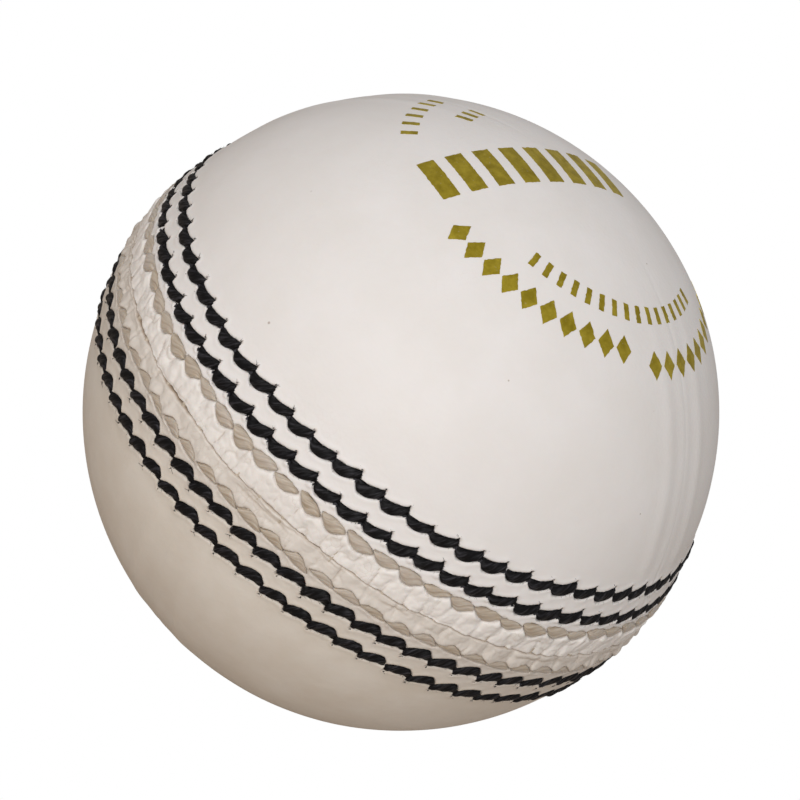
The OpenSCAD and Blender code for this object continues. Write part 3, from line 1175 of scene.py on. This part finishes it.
def black_thread_material():
    """Black waxed thread: fine strands along each ply, a cold painted highlight with some wear on the ply
    ridges, a faint sheen and a little dust.
    """
    s = Shader("black_twisted_thread")
    strands, ridge = thread_strands(s, 5.0, 2.5)
    # Painted highlight with some wear: lighter strands on the tops of the plies
    ridge_wear_and_highlight = s.times(s.ramp(strands, 0.48, 0.70), s.ramp(ridge, 0.1, 0.9))
    colour = s.mix(ridge_wear_and_highlight, (0.002, 0.0018, 0.0024), (0.040, 0.038, 0.045))
    dust = s.ramp(s.noise(3200, 2, 0.5), 0.72, 0.82)
    colour = s.mix(s.times(dust, 0.15), colour, (0.12, 0.11, 0.10))
    fuzz = s.bump(s.noise(5200, 2, 0.6), 0.3, 0.00006)
    normal = s.bump(ridge, 0.5, 0.0001, s.bump(strands, 0.9, 0.00012, fuzz))
    s.set(Specular_IOR_Level=0.18)
    return s.finish(colour, s.ramp(strands, 0.3, 0.8, 0.60, 0.38), normal)


def waxed_thread_material():
    """Natural linen thread soaked in wax: translucent taupe with fine strands, painted shade between the
    plies and a painted sheen at its grazing edges.
    """
    s = Shader("waxed_natural_thread")
    strands, ridge = thread_strands(s, 6.0, 1.6)
    colour = s.mix(s.ramp(strands, 0.30, 0.72), (0.36, 0.28, 0.195), (0.60, 0.53, 0.44))
    colour = s.mix(s.times(s.attribute("tone"), 0.4), colour, (0.56, 0.51, 0.47))
    # Painted shade in the grooves between the plies
    colour = s.mix(s.ramp(ridge, 0.0, 0.35, 0.5, 0.0), colour, (0.30, 0.22, 0.15))
    # Painted sheen: lighter where the surface turns away from the view, at the thread's grazing edges
    edge = s.node("LayerWeight").outputs["Facing"]
    colour = s.mix(s.ramp(edge, 0.45, 0.85, 0.0, 0.7), colour, (0.62, 0.58, 0.54))
    normal = s.bump(strands, 0.6, 0.00012, s.bump(s.noise(4200, 2, 0.6), 0.2, 0.00006))
    s.set(Subsurface_Weight=0.35, Subsurface_Scale=0.0008, Subsurface_Radius=(1.0, 0.7, 0.45))
    s.set(Coat_Weight=0.15, Coat_Roughness=0.35)
    return s.finish(colour, s.ramp(strands, 0.3, 0.8, 0.55, 0.42), normal)


def foil_material():
    """Stamped gold foil: olive gold, finely grained, thin in places."""
    s = Shader("stamped_gold_foil")
    patches = s.ramp(s.noise(700, 4, 0.65), 0.36, 0.68)
    colour = s.mix(patches, (0.38, 0.29, 0.022), (0.60, 0.475, 0.050))
    thin = s.ramp(s.noise(2600, 3, 0.6), 0.64, 0.74)
    colour = s.mix(s.times(thin, 0.4), colour, (0.60, 0.55, 0.38))
    normal = s.bump(s.noise(3800, 3, 0.6), 0.30, 0.00006)
    s.set(Metallic=0.95, Specular_IOR_Level=0.5)
    return s.finish(colour, s.ramp(s.noise(1500, 3, 0.6), 0.3, 0.7, 0.40, 0.56), normal)


def cork_material(name, dark, light, grain_scale):
    """Pressed cork: grains of several tones with dark lines between them."""
    s = Shader(name)
    tones = s.ramp(s.noise(grain_scale * 0.7, 2, 0.5), 0.3, 0.7)
    edges = s.ramp(s.cells(grain_scale), 0.0, 0.09, 1.0, 0.0)
    colour = s.mix(tones, dark, light)
    colour = s.mix(s.times(edges, 0.6), colour, tuple(0.35 * c for c in dark))
    normal = s.bump(s.cells(grain_scale), 0.5, 0.0004, s.bump(s.noise(grain_scale * 5, 2, 0.6), 0.3, 0.0002))
    return s.finish(colour, s.ramp(tones, 0.0, 1.0, 0.92, 0.78), normal)


def twine_material():
    """Wound worsted twine: bands of strands that cross each other in changing directions."""
    s = Shader("wound_twine")
    strands = s.node("TexWave", Scale=190, Distortion=5.0, Detail=2.0, Vector=s.place).outputs["Fac"]
    fibres = s.noise(2400, 3, 0.6)
    colour = s.mix(s.ramp(strands, 0.2, 0.8), (0.36, 0.29, 0.19), (0.70, 0.61, 0.45))
    colour = s.mix(s.times(fibres, 0.3), colour, (0.85, 0.78, 0.64))
    normal = s.bump(strands, 0.8, 0.0005, s.bump(fibres, 0.3, 0.0001))
    s.set(Sheen_Weight=0.2)
    return s.finish(colour, s.ramp(fibres, 0.3, 0.7, 0.95, 0.82), normal)


def lining_material():
    """Thin undyed leather, flesh side out."""
    s = Shader("undyed_lining_leather")
    nap = s.noise(900, 4, 0.65)
    colour = s.mix(s.ramp(nap, 0.35, 0.65), (0.50, 0.36, 0.23), (0.66, 0.51, 0.35))
    normal = s.bump(nap, 0.4, 0.0002, s.bump(s.noise(5000, 2, 0.6), 0.3, 0.0001))
    return s.finish(colour, s.ramp(nap, 0.3, 0.7, 0.9, 0.78), normal)


def plain_thread_material(name, dark, light):
    """Thread that runs unseen behind the leather."""
    s = Shader(name)
    strands = s.noise(2600, 3, 0.6)
    colour = s.mix(s.ramp(strands, 0.35, 0.65), dark, light)
    return s.finish(colour, s.ramp(strands, 0.3, 0.7, 0.75, 0.55), s.bump(strands, 0.6, 0.0001))


# ---------- The ball ----------

UPPER_JOIN = 0.0
LOWER_JOIN = math.pi / 2


def build_leather():
    upper = leather_material(
        "upper_white_leather",
        body=(0.84, 0.812, 0.795),
        warm=(0.81, 0.778, 0.75),
        shade=(0.78, 0.748, 0.722),
        lip=(0.87, 0.83, 0.79),
        gloss=0.48,
        coat=0.06,
    )
    lower = leather_material(
        "lower_white_leather",
        body=(0.802, 0.75, 0.678),
        warm=(0.74, 0.675, 0.59),
        shade=(0.67, 0.60, 0.515),
        lip=(0.71, 0.655, 0.595),
        gloss=0.36,
        coat=0.25,
    )
    for letter, turn in (("a", 0.0), ("b", math.pi)):
        leather_quarter("upper_leather_quarter_" + letter, UPPER, UPPER_JOIN + turn, upper)
    for letter, turn in (("a", math.pi), ("b", 0.0)):
        leather_quarter("lower_leather_quarter_" + letter, LOWER, LOWER_JOIN + turn, lower)


def build_thread():
    black = black_thread_material()
    waxed = waxed_thread_material()
    for row in ROWS:
        if row.shape is BLACK:
            stitch_row(row, black, 26, 30)
            fibre_piece(row.name + "_fibres", row_fibres(row), black)
        else:
            stitch_row(row, waxed, 20, 24)


def dress_frame():
    """Materials for the CAD nodes that stay as they are, inside the ball."""
    cork = cork_material("pressed_cork", (0.36, 0.20, 0.10), (0.60, 0.40, 0.22), 420)
    nucleus = cork_material("cork_and_rubber", (0.16, 0.09, 0.06), (0.42, 0.26, 0.15), 300)
    twine = twine_material()
    lining = lining_material()
    waxed = plain_thread_material("hidden_waxed_thread", (0.40, 0.33, 0.25), (0.66, 0.58, 0.48))
    black = plain_thread_material("hidden_black_thread", (0.004, 0.004, 0.006), (0.03, 0.03, 0.04))
    worn_by = {"cork_rubber_nucleus": nucleus, "closing_thread_passes": waxed}
    for size in ("inner", "middle", "outer"):
        worn_by[size + "_twine_winding"] = twine
        worn_by[size + "_cork_layer"] = cork
    for cup in ("upper", "lower"):
        worn_by[cup + "_cup_lining"] = lining
        worn_by[cup + "_quarter_join_thread"] = waxed
        for place in ("inner", "outer"):
            worn_by[f"{cup}_{place}_row_inside_thread"] = black
    for node, material in worn_by.items():
        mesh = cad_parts[node].data
        mesh.materials.clear()
        mesh.materials.append(material)


# ---------- Stage, light and camera ----------

CAMERA_ELEVATION = math.radians(27.2)
CAMERA_AZIMUTH = math.radians(-72.85)
CAMERA_ROLL = math.radians(40.06)
CAMERA_DISTANCE = 12 * BALL_R
BALL_SHARE = 0.796
AIM_UP = 1.4
AIM_LEFT = 0.1
# The light's direction as parts right, up and towards the camera, and its distance in metres
KEY_WAY = (-0.03, 0.16, 1.0)
KEY_DISTANCE = 0.9


def camera_axes():
    """The camera's right, up and back directions in the ball's frame."""
    back = Vector((
        math.cos(CAMERA_ELEVATION) * math.cos(CAMERA_AZIMUTH),
        math.cos(CAMERA_ELEVATION) * math.sin(CAMERA_AZIMUTH),
        math.sin(CAMERA_ELEVATION),
    ))
    level = Vector((0, 0, 1)).cross(back).normalized()
    upright = back.cross(level)
    c, s = math.cos(CAMERA_ROLL), math.sin(CAMERA_ROLL)
    right = c * level + s * upright
    up = c * upright - s * level
    return right, up, back


def build_camera():
    right, up, back = camera_axes()
    data = bpy.data.cameras.new("photo_camera")
    data.sensor_width = 36
    half_angle = math.asin(BALL_R / CAMERA_DISTANCE)
    data.lens = data.sensor_width * BALL_SHARE / 2 / math.tan(half_angle)
    data.clip_start = 0.01
    data.clip_end = 20
    camera = add_object("photo_camera", data)
    turn = Matrix((right, up, back)).transposed()
    place = (back * CAMERA_DISTANCE + up * AIM_UP - right * AIM_LEFT) * MM
    camera.matrix_world = Matrix.Translation(place) @ turn.to_4x4()
    bpy.context.scene.camera = camera


def build_light():
    """One large soft round light, close to the camera and a little above it."""
    right, up, back = camera_axes()
    way = (right * KEY_WAY[0] + up * KEY_WAY[1] + back * KEY_WAY[2]).normalized()
    data = bpy.data.lights.new("key_light", "AREA")
    data.shape = "DISK"
    data.size = 0.75
    data.energy = 4.8
    data.color = (1.0, 0.99, 0.985)
    lamp = add_object("key_light", data)
    lamp.location = way * KEY_DISTANCE
    lamp.rotation_euler = way.to_track_quat("Z", "Y").to_euler()


def mixed_shaders(tree, share, first, second):
    """The first shader's output where a share is 0, and the second's where it is 1."""
    mix = tree.nodes.new("ShaderNodeMixShader")
    for source, socket in zip((share, first, second), mix.inputs):
        tree.links.new(source, socket)
    return mix.outputs[0]


def build_surroundings():
    """White to the eye, and a dimmer even grey to the ball."""
    world = bpy.data.worlds.new("white_studio")
    world.use_nodes = True
    tree = world.node_tree
    lit = tree.nodes["Background"]
    lit.inputs["Color"].default_value = (1.0, 0.975, 0.965, 1.0)
    lit.inputs["Strength"].default_value = 0.45
    seen = tree.nodes.new("ShaderNodeBackground")
    seen.inputs["Color"].default_value = (1.0, 1.0, 1.0, 1.0)
    seen.inputs["Strength"].default_value = 1.0
    to_camera = tree.nodes.new("ShaderNodeLightPath").outputs["Is Camera Ray"]
    surface = mixed_shaders(tree, to_camera, lit.outputs[0], seen.outputs[0])
    tree.links.new(surface, tree.nodes["World Output"].inputs["Surface"])
    bpy.context.scene.world = world


def build_floor():
    """A wide pale floor that the ball's lower pole touches. From below it can be seen through."""
    half = 3.0
    z = -BALL_R * MM
    corners = [(-half, -half, z), (half, -half, z), (half, half, z), (-half, half, z)]
    mesh = bpy.data.meshes.new("pale_floor")
    mesh.from_pydata(corners, [], [(0, 1, 2, 3)])
    floor = add_object("pale_floor", mesh)
    s = Shader("pale_floor")
    s.finish((0.48, 0.41, 0.345, 1.0), 0.9)
    seen = s.node("Emission")
    clear = s.node("BsdfTransparent")
    to_camera = s.node("LightPath").outputs["Is Camera Ray"]
    from_below = s.node("NewGeometry").outputs["Backfacing"]
    bright = mixed_shaders(s.tree, to_camera, s.base.outputs[0], seen.outputs[0])
    sided = mixed_shaders(s.tree, from_below, bright, clear.outputs[0])
    s.tree.links.new(sided, s.tree.nodes["Material Output"].inputs["Surface"])
    mesh.materials.append(s.material)


build_leather()
build_thread()
foil_mark(foil_material())
dress_frame()
build_camera()
build_light()
build_surroundings()
build_floor()
bpy.context.scene.view_settings.view_transform = "Standard"
